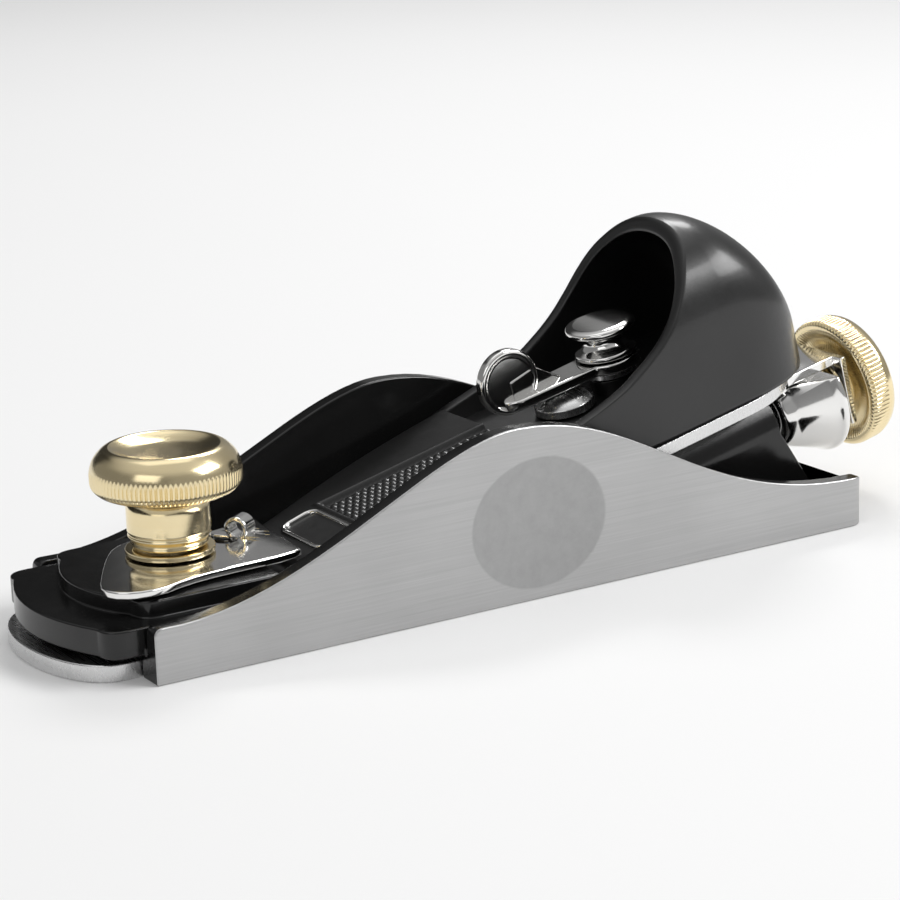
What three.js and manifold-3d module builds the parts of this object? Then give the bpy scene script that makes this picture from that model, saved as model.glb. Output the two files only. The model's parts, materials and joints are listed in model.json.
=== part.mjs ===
// Low-angle block plane with an adjustable mouth and a hooded lever cap.
// Millimetres. +X points to the toe, +Y to the left cheek, +Z up. The origin is on the sole's
// face, half way along the sole and on its centre line.
import * as THREE from 'three';
import { mergeVertices } from 'three/addons/utils/BufferGeometryUtils.js';
import Module from 'manifold-3d';

const wasm = await Module();
wasm.setup();

// ---------------------------------------------------------------- driving dimensions
const GAP = 0.35;                 // running clearance between pieces that touch
const OVER = 1;                   // how far a cut runs past the face it opens
const DEG = Math.PI / 180;

// casting
const CHEEK_LENGTH = 146.3;       // cheeks, front end to heel
const TOE_OVERHANG = 12.4;        // toe plate's tip ahead of the cheeks
const BODY_WIDTH = 48;
const CHEEK_WALL = 3.2;
const CHEEK_PEAK = 31.1;          // height of the cheeks half way along
const PEAK_FROM_FRONT = 69.9;
const CHEEK_FRONT = 9.6;
const CHEEK_HEEL = 9.3;
const CHEEK_CORNER = 1.6;
const FRONT_SWEEP = { low: 28, dip: 1.2, high: 17.5 };   // handles of the cheek's front curve
const REAR_SWEEP = { high: 26, low: 38 };
const SOLE_WALL = 3.2;
const RAIL_WIDTH = 5.4;           // solid strips on both sides of the toe plate
const HEEL_RADIUS = 3;            // upright corners of the heel
const DIMPLE = { x: -6.8, z: 13.7, halfLength: 14.2, halfHeight: 12, depth: 0.9 };

// deck over the toe plate
const DECK = { bottom: 4.4, top: 9.1, inset: 3.5, setback: 1.6, sag: 4.1, corner: 4 };
const PLATFORM = { rise: 2.9, setback: 7.5, inset: 3 };

// toe plate and its clamp
const TOE = { lip: 3, pad: 4.05, padSetback: 6, padInset: 2, sag: 9.6, fullness: 6 };
const MOUTH_OPENING = 2;          // toe plate's rear edge to the cutting edge
const TOE_TRAVEL = { back: 0.7, front: 3.3 };
const TRAVEL_SPARE = 0.4;
const KNOB_BEHIND_CHEEK_FRONT = 15.1;
const TOE_BOSS_RADIUS = 5;
const TOE_BOSS_PLAY = 0.45;       // side play of the boss in the deck's slot
const STUD_RADIUS = 3;
const THROAT_PLATE = 1.4;
const THROAT_HUB_RADIUS = 10.5;
const THROAT_SWING_PER_MM = 8 * DEG;
const THROAT_PIN = { x: -5.6, y: -5.6, radius: 1.3, depth: 4 };   // from the knob's axis
const CURL = { x: -14.2, y: -1.95, lift: 2.7, radius: 2.2, wall: 0.85, length: 3.8, turn: 37 };
const WASHER = { radius: 7.6, thickness: 0.9 };
const KNOB = { radius: 12.8, neck: 7.1, height: 17.3, studEngagement: 10.4, dish: 1.5 };

// bed and cutter
const BED_ANGLE = 13.5 * DEG;
const MOUTH_FROM_FRONT = 30;      // cheeks' front end to where the bed meets the sole
const RAMP_LENGTH = 36;
const CUTTER = { width: 35, thickness: 2.4, length: 115.5, bevel: 25 * DEG };
const EDGE_RETRACT = 0.2;         // cutting edge behind the sole's plane, along the bed
const FEED_SLOTS = { count: 4, pitch: 3.4, width: 10, length: 1.7, first: 95.5 };

// lever cap, measured along the bed from the mouth (s) and square to the bed (n)
const SCREW_AT = 70;
const SCREW = { radius: 2.9, head: 5.6, headHeight: 3, boss: 6.6, foot: -12.4, slot: 1.4 };
const CAP_RELEASE = 8;            // slide that frees the cap from its screw
const CAP_WIDTH = 35.6;
const CAP_WALL = 2.3;
const NOSE = { at: 7, height: 8.3, width: 27, corner: 2, round: 3.4 };
const CAP_FLARE = { start: 12, end: 20, full: 40 };      // behind the nose, where the cap widens
const CAP_RIM = { at: 60, height: 12.9 };
const WEB = { thickness: 2.7, top: 9.4 };
const WELL_AT = 54;               // front of the well that holds the screw and the lever
const UNDERCUT_AT = 13;           // front of the hollow under the cap
const HOOD = { at: 97.6, height: 36.8, reach: 20.05, spring: 20, fullness: 0.62 };
const HOOD_PLAN_POWER = 2.6;      // squareness of the hood's tail seen from above
const HOOD_SIDE_POWER = 1.88;     // and from the side
const HOOD_RIM = [[52, 12], [62.5, 13.6], [70, 15.2], [76.4, 17.7], [81, 20.2], [84.7, 23.1],
  [88.5, 27.2], [91.7, 31], [94.2, 33.6], [96.6, 36.9], [97.4, 38.6]];
const PANEL = { from: 21.5, to: 55, frontHalf: 8.2, rearHalf: 2.2, depth: 0.8 };
const PLATE_BLANK = { from: 12.2, to: 19.6, half: 7.6, frame: 0.9, rise: 0.8 };

// cam lever
const CAM_AT = 81;
const CAM = { plate: 2, level: 14, hub: 6.2, shaft: 2.3, boss: 4.2, disc: 6.4, throw: 1 };
const CAM_FORK_ANGLE = 0.7;       // where the arm leaves the hub
const ARM_HALF = 3;
const SPOOL = { foot: 5.8, waist: 3.6, neck: 4.2, cap: 6.5, height: 6.3 };
const CAM_WASHER = { overhang: 0.8, thickness: 1 };
const PAD = { at: 59.4, level: 19.2, radius: 6.1, thickness: 2.2 };
const GUSSET = { run: 12, shoulder: 5.6 };
const SPRING = { thickness: 0.8, width: 16, front: 75, bend: 3, tail: 4 };
const SPRING_RIVET = { at: 96, radius: 1.6, overhang: 1.2 };

// cutter adjuster
const STUD_AXIS = -10;            // below the bed's plane
const PEDESTAL = { from: 84, to: 109, radius: 9.2, padTo: 101, padHalf: 6.4, tailRun: 6, depth: 26 };
const SWING_AT = 88;
const SWING = { pin: 2, plate: 1.8, top: -2.6, width: 12, play: 1.15, head: 1.4, foot: 4 };
const BELL = { from: 112.5, to: 124.2, small: 6.4, large: 11.4, flat: -4.4, shoulder: 3, lip: 1 };
const SLIDE = { plate: 1.8, width: 10, from: 93.5, step: 115.6, drop: 1.9, stepLength: 1.8 };
const FORK = { at: 126.9, thickness: 1.3, width: 15, reach: 6 };
const WHEEL = { radius: 12.8, hub: 6.2, collar: 5.4, flange: 1, groove: 4.5, thickness: 6.8, stud: 2.8 };

// ---------------------------------------------------------------- worked-out places
const SOLE_LENGTH = CHEEK_LENGTH + TOE_OVERHANG;
const TOE_TIP = SOLE_LENGTH / 2;
const CHEEK_END = TOE_TIP - TOE_OVERHANG;
const HEEL_END = -SOLE_LENGTH / 2;
const MOUTH_X = CHEEK_END - MOUTH_FROM_FRONT;
const HALF = BODY_WIDTH / 2;
const INNER = HALF - CHEEK_WALL;
const CHANNEL_HALF = HALF - RAIL_WIDTH;
const CUTTER_BOTTOM = GAP;
const CUTTER_TOP = CUTTER_BOTTOM + CUTTER.thickness;
const CAP_FLOOR = CUTTER_TOP + GAP;
const KNOB_X = CHEEK_END - KNOB_BEHIND_CHEEK_FRONT;
const PLATFORM_TOP = DECK.top + PLATFORM.rise;
const THROAT_BOTTOM = PLATFORM_TOP + GAP;
const THROAT_TOP = THROAT_BOTTOM + THROAT_PLATE;
const WASHER_BOTTOM = THROAT_TOP + GAP;
const KNOB_BASE = WASHER_BOTTOM + WASHER.thickness + GAP;
const WEB_BOTTOM = WEB.top - WEB.thickness;
const SLIDE_TOP = CUTTER_BOTTOM - 2 * GAP;
const WHEEL_FRONT = FORK.at + FORK.thickness + 2 * GAP;
const WHEEL_BACK = WHEEL_FRONT + WHEEL.thickness;
const FAR = 200;                  // longer than the whole tool, for cuts open at one end

// ---------------------------------------------------------------- solids
const group = new THREE.Group();
const bedFrame = new THREE.Group();          // -X runs up the bed, +Z stands square to it
bedFrame.position.set(MOUTH_X, 0, 0);
bedFrame.rotation.y = BED_ANGLE;
group.add(bedFrame);

function toSolid(geometry) {
  const bare = geometry.clone();
  bare.deleteAttribute('normal');
  bare.deleteAttribute('uv');
  const merged = mergeVertices(bare, 1e-4);
  const vertProperties = new Float32Array(merged.attributes.position.array);
  const triVerts = new Uint32Array(merged.index.array);
  return new wasm.Manifold(new wasm.Mesh({ numProp: 3, vertProperties, triVerts }));
}

function toGeometry(solid) {
  const mesh = solid.getMesh();
  const geometry = new THREE.BufferGeometry();
  geometry.setAttribute('position', new THREE.BufferAttribute(mesh.vertProperties, 3));
  geometry.setIndex(new THREE.BufferAttribute(mesh.triVerts, 1));
  return geometry;
}

// A plan outline in X and Y, drawn up from z0 to z1.
function upright(shape, z0, z1, curveSegments = 12) {
  const options = { depth: z1 - z0, bevelEnabled: false, curveSegments };
  return toSolid(new THREE.ExtrudeGeometry(shape, options).translate(0, 0, z0));
}

// A side outline in X and Z, drawn across from y0 to y1.
function across(shape, y0, y1, curveSegments = 24) {
  const options = { depth: y1 - y0, bevelEnabled: false, curveSegments };
  return toSolid(new THREE.ExtrudeGeometry(shape, options).rotateX(Math.PI / 2).translate(0, y1, 0));
}

// A profile of [radius, height] points turned about the Z axis.
function turned(points, segments = 32) {
  const profile = points.map(([r, z]) => new THREE.Vector2(r, z));
  return toSolid(new THREE.LatheGeometry(profile, segments).rotateX(Math.PI / 2));
}

function disc(radius, z0, z1, x = 0, y = 0, segments = 28) {
  const geometry = new THREE.CylinderGeometry(radius, radius, z1 - z0, segments);
  return toSolid(geometry.rotateX(Math.PI / 2).translate(x, y, (z0 + z1) / 2));
}

function block(x0, x1, y0, y1, z0, z1) {
  const geometry = new THREE.BoxGeometry(x1 - x0, y1 - y0, z1 - z0);
  return toSolid(geometry.translate((x0 + x1) / 2, (y0 + y1) / 2, (z0 + z1) / 2));
}

function polygon(points) {
  return new THREE.Shape(points.map(([x, y]) => new THREE.Vector2(x, y)));
}

function slotShape(x0, x1, halfWidth) {
  const shape = new THREE.Shape();
  shape.absarc(x1, 0, halfWidth, -Math.PI / 2, Math.PI / 2, false);
  shape.absarc(x0, 0, halfWidth, Math.PI / 2, 3 * Math.PI / 2, false);
  return shape;
}

// Lays a solid turned about Z down along the bed, on the adjuster's axis.
function alongStud(solid) {
  return solid.rotate([0, -90, 0]).translate([0, 0, STUD_AXIS]);
}

// Moves a solid made in the bed's frame into the casting's frame.
function onBed(solid) {
  return solid.rotate([0, BED_ANGLE / DEG, 0]).translate([MOUTH_X, 0, 0]);
}

function add(parent, name, solid, [color, roughness, metalness]) {
  const material = new THREE.MeshStandardMaterial({ color, roughness, metalness, flatShading: true });
  const mesh = new THREE.Mesh(toGeometry(solid), material);
  mesh.name = name;
  parent.add(mesh);
  return mesh;
}

const ENAMEL = [0x0b0b0c, 0.18, 0];
const NICKEL = [0xd8d8d6, 0.16, 1];
const STEEL = [0xb9babb, 0.32, 1];
const BRASS = [0xd2b46a, 0.28, 1];

// ---------------------------------------------------------------- casting
function cheekOutline() {
  const shape = new THREE.Shape();
  const peakX = CHEEK_END - PEAK_FROM_FRONT;
  const corner = CHEEK_CORNER;
  const { low, dip, high } = FRONT_SWEEP;
  shape.moveTo(HEEL_END, 0);
  shape.lineTo(CHEEK_END, 0);
  shape.lineTo(CHEEK_END, CHEEK_FRONT - corner);
  shape.quadraticCurveTo(CHEEK_END, CHEEK_FRONT, CHEEK_END - corner, CHEEK_FRONT);
  shape.bezierCurveTo(CHEEK_END - low, CHEEK_FRONT - dip, peakX + high, CHEEK_PEAK, peakX, CHEEK_PEAK);
  shape.bezierCurveTo(peakX - REAR_SWEEP.high, CHEEK_PEAK, HEEL_END + REAR_SWEEP.low, CHEEK_HEEL,
    HEEL_END + corner, CHEEK_HEEL);
  shape.quadraticCurveTo(HEEL_END, CHEEK_HEEL, HEEL_END, CHEEK_HEEL - corner);
  return shape;
}

// The casting seen from above, with its two upright heel corners rounded.
function bodyPlan() {
  const shape = new THREE.Shape();
  const r = HEEL_RADIUS;
  shape.moveTo(CHEEK_END, -HALF);
  shape.lineTo(CHEEK_END, HALF);
  shape.lineTo(HEEL_END + r, HALF);
  shape.quadraticCurveTo(HEEL_END, HALF, HEEL_END, HALF - r);
  shape.lineTo(HEEL_END, r - HALF);
  shape.quadraticCurveTo(HEEL_END, -HALF, HEEL_END + r, -HALF);
  return shape;
}

function deckPlan(inset, tip, rear) {
  const half = HALF - DECK.inset - inset;
  const side = tip - DECK.sag;
  const shape = new THREE.Shape();
  shape.moveTo(rear, -half);
  shape.lineTo(side - DECK.corner, -half);
  shape.quadraticCurveTo(side, -half, side, DECK.corner - half);
  shape.quadraticCurveTo(2 * tip - side, 0, side, half - DECK.corner);
  shape.quadraticCurveTo(side, half, side - DECK.corner, half);
  shape.lineTo(rear, half);
  return shape;
}

// The rounded seat behind the bed that carries the adjuster.
function bedPedestal() {
  const { from, to, radius, padTo, padHalf, tailRun, depth } = PEDESTAL;
  const barrel = disc(radius, from, to, 0, 0, 40);
  const foot = block(-to, -from, -radius, radius, -depth, STUD_AXIS);
  const tail = across(polygon([[-to - tailRun, -depth], [-to, STUD_AXIS], [-to + OVER, STUD_AXIS],
    [-to + OVER, -depth]]), -radius, radius);
  const pad = block(-padTo, -from, -padHalf, padHalf, STUD_AXIS, 0);
  const swingHalf = SWING.width / 2 + SWING.play;
  const channelFloor = SWING.top - SWING.plate - GAP;
  const channel = block(-to - OVER, -SWING_AT, -swingHalf, swingHalf, channelFloor, OVER)
    .add(disc(swingHalf, channelFloor, OVER, -SWING_AT, 0));
  const bore = disc(WHEEL.stud + OVER, padTo, to + OVER);
  return onBed(alongStud(barrel).add(foot).add(tail).add(pad).subtract(channel).subtract(alongStud(bore)));
}

// Shallow oval finger rests in the cheeks, cut by the cap of an ellipsoid.
function dimples() {
  const { x, z, halfLength, halfHeight, depth } = DIMPLE;
  const fullDepth = 3 * depth;
  const spread = fullDepth / Math.sqrt(fullDepth ** 2 - (fullDepth - depth) ** 2);
  return [-1, 1].map((side) => toSolid(new THREE.SphereGeometry(1, 44, 20).rotateX(Math.PI / 2)
    .scale(halfLength * spread, fullDepth, halfHeight * spread)
    .translate(x, side * (HALF + fullDepth - depth), z)));
}

function planeBody() {
  const top = CHEEK_PEAK + OVER;
  const shell = across(cheekOutline(), -HALF, HALF).intersect(upright(bodyPlan(), -OVER, top, 8));
  const room = block(HEEL_END - OVER, CHEEK_END + OVER, -INNER, INNER, SOLE_WALL, top);
  const rail = block(MOUTH_X, CHEEK_END, -HALF, HALF, 0, DECK.bottom + OVER)
    .intersect(across(cheekOutline(), -HALF, HALF));
  const deckRear = MOUTH_X + MOUTH_OPENING + GAP;
  const deckTip = TOE_TIP - DECK.setback;
  const deck = upright(deckPlan(0, deckTip, deckRear), DECK.bottom, DECK.top);
  const platform = upright(deckPlan(PLATFORM.inset, deckTip - PLATFORM.setback, deckRear + OVER),
    DECK.bottom, PLATFORM_TOP);
  const ramp = onBed(block(-RAMP_LENGTH, OVER, -INNER - OVER, INNER + OVER, -MOUTH_FROM_FRONT, 0));
  const screwBoss = onBed(disc(SCREW.boss, -MOUTH_FROM_FRONT, 0, -SCREW_AT, 0));
  const inside = block(HEEL_END + OVER, MOUTH_X + OVER, -INNER - OVER, INNER + OVER, OVER, top);
  const mouthFront = MOUTH_X - OVER;
  const channel = block(mouthFront, TOE_TIP + OVER, -CHANNEL_HALF, CHANNEL_HALF, -OVER, DECK.bottom);
  const mouth = block(mouthFront, deckRear, -CHANNEL_HALF - OVER, CHANNEL_HALF + OVER, -OVER, top);
  const aboveBed = onBed(block(-RAMP_LENGTH - FAR, MOUTH_FROM_FRONT, -INNER, INNER, 0, FAR))
    .intersect(block(-FAR, deckRear, -HALF, HALF, -OVER, FAR));
  const slotFrom = KNOB_X - TOE_TRAVEL.back - TRAVEL_SPARE;
  const slotTo = KNOB_X + TOE_TRAVEL.front + TRAVEL_SPARE;
  const slot = upright(slotShape(slotFrom, slotTo, TOE_BOSS_RADIUS + TOE_BOSS_PLAY), 0, top);
  const screwHole = onBed(disc(SCREW.radius + GAP, SCREW.foot - GAP, OVER, -SCREW_AT, 0, 24));
  const pinHole = onBed(disc(SWING.pin + GAP, SCREW.foot - GAP, OVER, -SWING_AT, 0, 24));
  const throatPinHole = disc(THROAT_PIN.radius + GAP, PLATFORM_TOP - THROAT_PIN.depth - GAP, top,
    KNOB_X + THROAT_PIN.x, THROAT_PIN.y, 20);
  const seats = ramp.add(screwBoss).add(bedPedestal()).intersect(inside);
  const solids = [rail, deck, platform, seats];
  const cuts = [channel, mouth, aboveBed, slot, screwHole, pinHole, throatPinHole, ...dimples()];
  const casting = solids.reduce((whole, solid) => whole.add(solid), shell.subtract(room));
  return cuts.reduce((whole, cut) => whole.subtract(cut), casting);
}
add(group, 'plane_body', planeBody(), ENAMEL);

// ---------------------------------------------------------------- toe plate, clamp and throat lever
function toePlate() {
  const half = CHANNEL_HALF - GAP;
  const rear = MOUTH_X + MOUTH_OPENING;
  const side = TOE_TIP - TOE.sag;
  const plan = new THREE.Shape();
  plan.moveTo(rear, -half);
  plan.lineTo(side, -half);
  plan.bezierCurveTo(side + TOE.fullness, -half, TOE_TIP, -half / 2, TOE_TIP, 0);
  plan.bezierCurveTo(TOE_TIP, half / 2, side + TOE.fullness, half, side, half);
  plan.lineTo(rear, half);
  const padHalf = half - TOE.padInset;
  const pad = block(rear, side - TOE.padSetback, -padHalf, padHalf, 0, TOE.pad);
  const boss = disc(TOE_BOSS_RADIUS, TOE.lip, PLATFORM_TOP - 2 * GAP, KNOB_X, 0, 32);
  const tapped = disc(STUD_RADIUS + GAP, TOE.lip / 2, PLATFORM_TOP, KNOB_X, 0, 24);
  return upright(plan, 0, TOE.lip, 16).add(pad).add(boss).subtract(tapped);
}
add(group, 'toe_plate', toePlate(), STEEL);

const studTop = KNOB_BASE + KNOB.studEngagement;
add(group, 'clamp_stud', disc(STUD_RADIUS, TOE.lip / 2 + GAP, studTop, KNOB_X, 0, 24), STEEL);
add(group, 'throat_pin', disc(THROAT_PIN.radius, PLATFORM_TOP - THROAT_PIN.depth, THROAT_TOP,
  KNOB_X + THROAT_PIN.x, THROAT_PIN.y, 20), STEEL);

// The slot follows the fixed pin as the lever swings on the clamp stud and the toe plate slides.
function throatSlot() {
  const steps = 12;
  const half = THROAT_PIN.radius + 2 * GAP;
  const total = TOE_TRAVEL.back + TOE_TRAVEL.front + TRAVEL_SPARE;
  const places = [];
  for (let i = 0; i <= steps; i++) {
    const travel = -TOE_TRAVEL.back - TRAVEL_SPARE / 2 + total * i / steps;
    const place = new THREE.Vector2(THROAT_PIN.x - travel, THROAT_PIN.y);
    places.push(place.rotateAround(new THREE.Vector2(), -THROAT_SWING_PER_MM * travel));
  }
  return places.map(({ x, y }) => disc(half, -OVER, THROAT_PLATE + OVER, x, y, 20))
    .reduce((whole, step) => whole.add(step));
}

// Seen from above, with the clamp stud at the origin: a rounded front lobe, a straight rear edge.
function throatPlan() {
  const shape = new THREE.Shape();
  shape.moveTo(6, 15.4);
  shape.bezierCurveTo(13, 19, 20.5, 15, 17, 8.5);
  shape.bezierCurveTo(15, 4.5, 11.5, -2, 8.6, -6);
  shape.bezierCurveTo(4, -12, -4, -11.5, -8.5, -7);
  shape.bezierCurveTo(-11, -6.4, -15, -7.4, -21.4, -11.4);
  shape.bezierCurveTo(-19.6, -4, -19, 6, -18.6, 11.8);
  shape.bezierCurveTo(-14, 14.4, -2, 12.4, 6, 15.4);
  return shape;
}

function throatLever() {
  const hub = disc(THROAT_HUB_RADIUS, 0, THROAT_PLATE, 0, 0, 36);
  const plate = upright(throatPlan(), 0, THROAT_PLATE, 8).add(hub);
  const { x, y, lift, radius, wall, length, turn } = CURL;
  const tube = disc(radius, -length / 2, length / 2, 0, 0, 24);
  const bore = disc(radius - wall, -length, length, 0, 0, 20);
  const place = (solid) => solid.rotate([0, 90, 0]).rotate([0, 0, turn]).translate([x, y, lift]);
  const hole = disc(STUD_RADIUS + GAP, -OVER, THROAT_PLATE + OVER, 0, 0, 24);
  return plate.add(place(tube)).subtract(place(bore)).subtract(hole).subtract(throatSlot());
}
add(group, 'throat_lever', throatLever(), NICKEL).position.set(KNOB_X, 0, THROAT_BOTTOM);

function ring(inner, outer, z0, z1) {
  return turned([[inner, z0], [outer, z0], [outer, z1], [inner, z1], [inner, z0]]);
}
add(group, 'knob_washer', ring(STUD_RADIUS + GAP, WASHER.radius, 0, WASHER.thickness), BRASS)
  .position.set(KNOB_X, 0, WASHER_BOTTOM);

function fingerKnob() {
  const { neck, radius: rim, height: top, dish, studEngagement } = KNOB;
  const bore = STUD_RADIUS + GAP;
  const boreTop = studEngagement + GAP;
  return turned([
    [bore, 0], [neck - 0.6, 0], [neck - 0.6, 1.2], [neck, 2], [neck, 7.2], [neck + 1.4, 8.6],
    [rim - 1.4, 9.6], [rim, 10.6], [rim, 13.6], [rim - 0.9, 15.4], [rim - 2.4, 16.7], [rim - 3.6, top],
    [rim - 6.5, top - 0.8 * dish], [0, top - dish], [0, boreTop], [bore, boreTop], [bore, 0]], 44);
}
add(group, 'finger_knob', fingerKnob(), BRASS).position.set(KNOB_X, 0, KNOB_BASE);

// ---------------------------------------------------------------- cutter
function cutterIron() {
  const half = CUTTER.width / 2;
  const edge = -EDGE_RETRACT;
  const rearCentre = half - CUTTER.length;
  const plan = new THREE.Shape();
  plan.moveTo(edge, -half);
  plan.lineTo(edge, half);
  plan.lineTo(rearCentre, half);
  plan.absarc(rearCentre, 0, half, Math.PI / 2, 3 * Math.PI / 2, false);
  const run = (CUTTER.thickness + OVER) / Math.tan(CUTTER.bevel);
  const bevel = across(polygon([[edge + OVER, CUTTER_BOTTOM - OVER], [edge + OVER, CUTTER_TOP + OVER],
    [edge - run, CUTTER_TOP + OVER], [edge, CUTTER_BOTTOM]]), -HALF, HALF);
  const cap = SCREW.head + OVER;
  const releasedAt = CAP_RELEASE - SCREW_AT;
  const slot = upright(slotShape(-SCREW_AT - cap, releasedAt, SCREW.radius + 2 * GAP), 0, HALF)
    .add(disc(cap, 0, HALF, releasedAt, 0));
  const iron = upright(plan, CUTTER_BOTTOM, CUTTER_TOP, 24).subtract(bevel).subtract(slot);
  const { count, pitch, width, length, first } = FEED_SLOTS;
  const feedSlots = Array.from({ length: count }, (unused, i) => block(-first - i * pitch - length / 2,
    -first - i * pitch + length / 2, -width / 2, width / 2, 0, HALF));
  return feedSlots.reduce((whole, cut) => whole.subtract(cut), iron);
}
add(bedFrame, 'cutter_iron', cutterIron(), STEEL);

// ---------------------------------------------------------------- lever cap
// Hood's cross-section as [y, n]: upright sides, then a full curve over the crown.
function archPoints(inset, base) {
  const half = CAP_WIDTH / 2 - inset;
  const crown = HOOD.height - inset;
  const handle = HOOD.spring + (crown - HOOD.spring) * HOOD.fullness;
  const quarter = new THREE.CubicBezierCurve(new THREE.Vector2(half, HOOD.spring),
    new THREE.Vector2(half, handle), new THREE.Vector2(half * HOOD.fullness, crown),
    new THREE.Vector2(0, crown)).getPoints(12);
  const right = quarter.map((p) => [p.x, p.y]);
  const left = right.slice(0, -1).reverse().map(([y, n]) => [-y, n]);
  return [[half, base], ...right, ...left, [-half, base]];
}

// The hood's closed tail: a sphere whose rings take the arch's outline and shrink to the rear.
function hoodTail(arch, reach, base) {
  const rings = 14;
  const geometry = new THREE.SphereGeometry(1, arch.length, rings);
  const position = geometry.attributes.position;
  for (let i = 0; i < position.count; i++) {
    const row = Math.floor(i / (arch.length + 1));
    const [y, n] = arch[i % (arch.length + 1) % arch.length];
    const angle = Math.min(row / (rings - 1), 1) * Math.PI / 2;
    const back = row === rings ? 0 : Math.cos(angle) ** (2 / HOOD_PLAN_POWER);
    const side = row === rings ? 0 : Math.sin(angle) ** (2 / HOOD_PLAN_POWER);
    const tall = (1 - back ** HOOD_SIDE_POWER) ** (1 / HOOD_SIDE_POWER);
    const level = row === rings ? HOOD.spring : base + tall * (n - base);
    position.setXYZ(i, -HOOD.at - reach * back, side * y, level);
  }
  return toSolid(geometry);
}

function hoodForm(inset, base) {
  const arch = archPoints(inset, base);
  const options = { depth: HOOD.at - NOSE.at, bevelEnabled: false };
  const tunnel = new THREE.ExtrudeGeometry(polygon(arch), options);
  const front = toSolid(tunnel.rotateX(Math.PI / 2).rotateZ(Math.PI / 2).translate(-HOOD.at, 0, 0));
  return front.add(hoodTail([...arch].reverse(), HOOD.reach - inset, base));
}

// Everything in front of the hood's rim.
function aheadOfRim() {
  const points = HOOD_RIM.map(([s, n]) => new THREE.Vector2(-s, n));
  const rim = new THREE.SplineCurve(points).getPoints(24).map((p) => [p.x, p.y]);
  const [foot] = rim;
  const crown = rim[rim.length - 1];
  return across(polygon([...rim, [crown[0], FAR], [FAR, FAR], [FAR, -FAR], [foot[0], -FAR]]), -HALF, HALF);
}

function capPlan(inset) {
  const nose = NOSE.width / 2 - inset;
  const half = CAP_WIDTH / 2 - inset;
  const tip = -NOSE.at - inset;
  const { start, end, full } = CAP_FLARE;
  const shape = new THREE.Shape();
  shape.moveTo(tip, NOSE.corner - nose);
  shape.lineTo(tip, nose - NOSE.corner);
  shape.quadraticCurveTo(tip, nose, tip - NOSE.corner, nose);
  shape.bezierCurveTo(tip - start, nose + OVER, tip - end, half, tip - full, half);
  shape.lineTo(-FAR, half);
  shape.lineTo(-FAR, -half);
  shape.lineTo(tip - full, -half);
  shape.bezierCurveTo(tip - end, -half, tip - start, -nose - OVER, tip - NOSE.corner, -nose);
  shape.quadraticCurveTo(tip, -nose, tip, NOSE.corner - nose);
  return shape;
}

function capTopAt(s) {
  const from = NOSE.at + NOSE.round;
  return NOSE.height + (CAP_RIM.height - NOSE.height) * (s - from) / (CAP_RIM.at - from);
}

// The cap's solid front, from its rounded nose to under the hood's rim.
function capFront() {
  const { at, round } = NOSE;
  const profile = new THREE.Shape();
  profile.moveTo(-at, CAP_FLOOR);
  profile.lineTo(-at, CAP_FLOOR + round / 2);
  profile.quadraticCurveTo(-at, capTopAt(at), -at - round, capTopAt(at + round));
  profile.lineTo(-HOOD_RIM[1][0], capTopAt(HOOD_RIM[1][0]));
  profile.lineTo(-HOOD_RIM[1][0], CAP_FLOOR);
  return across(profile, -HALF, HALF, 10);
}

// The raised frame of the blank nameplate near the nose.
function nameFrame() {
  const { from, to, half, frame, rise } = PLATE_BLANK;
  const level = capTopAt((from + to) / 2);
  const outer = block(-to, -from, -half, half, level - rise, level + rise);
  const inner = block(-to + frame, -from - frame, frame - half, half - frame, level, level + 2 * rise);
  return outer.subtract(inner);
}

// The long recess that carries the cross-hatching; its floor runs parallel to the cap's top.
function gripPanel() {
  const { from, to, frontHalf, rearHalf, depth } = PANEL;
  const plan = upright(polygon([[-from, -frontHalf], [-from, frontHalf], [-to, rearHalf], [-to, -rearHalf]]),
    0, HOOD.height);
  const above = across(polygon([[0, capTopAt(0) - depth], [0, HOOD.height], [-FAR, HOOD.height],
    [-FAR, capTopAt(FAR) - depth]]), -HALF, HALF);
  return plan.intersect(above);
}

function leverCap() {
  const plan = upright(capPlan(0), 0, FAR);
  const outer = hoodForm(0, CAP_FLOOR).subtract(aheadOfRim()).add(capFront()).intersect(plan);
  const well = hoodForm(CAP_WALL, 0).intersect(upright(capPlan(CAP_WALL), -OVER, FAR));
  const wellAbove = well.intersect(block(-FAR, -WELL_AT, -HALF, HALF, WEB.top, FAR));
  const roof = across(polygon([[-UNDERCUT_AT, 0], [-UNDERCUT_AT, NOSE.height / 2],
    [-WELL_AT, WEB_BOTTOM], [-FAR, WEB_BOTTOM], [-FAR, 0]]), -HALF, HALF);
  const shank = SCREW.radius + 2 * GAP;
  const releasedAt = CAP_RELEASE - SCREW_AT;
  const keyhole = upright(slotShape(-SCREW_AT, releasedAt, shank), 0, HALF)
    .add(disc(SCREW.head + GAP, 0, HALF, releasedAt, 0));
  const camBoss = disc(CAM.boss, WEB.top - OVER, CAM.level - CAM_WASHER.thickness - 2 * GAP, -CAM_AT, 0);
  const shaftHole = disc(CAM.shaft + GAP, 0, HALF, -CAM_AT, 0, 24);
  const rivetHole = disc(SPRING_RIVET.radius + GAP, 0, WEB.top + OVER, -SPRING_RIVET.at, 0, 16);
  const cuts = [gripPanel(), keyhole, shaftHole, rivetHole];
  const cap = outer.subtract(wellAbove).subtract(well.intersect(roof)).add(camBoss).add(nameFrame());
  return cuts.reduce((whole, cut) => whole.subtract(cut), cap);
}
add(bedFrame, 'lever_cap', leverCap(), ENAMEL);

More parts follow.
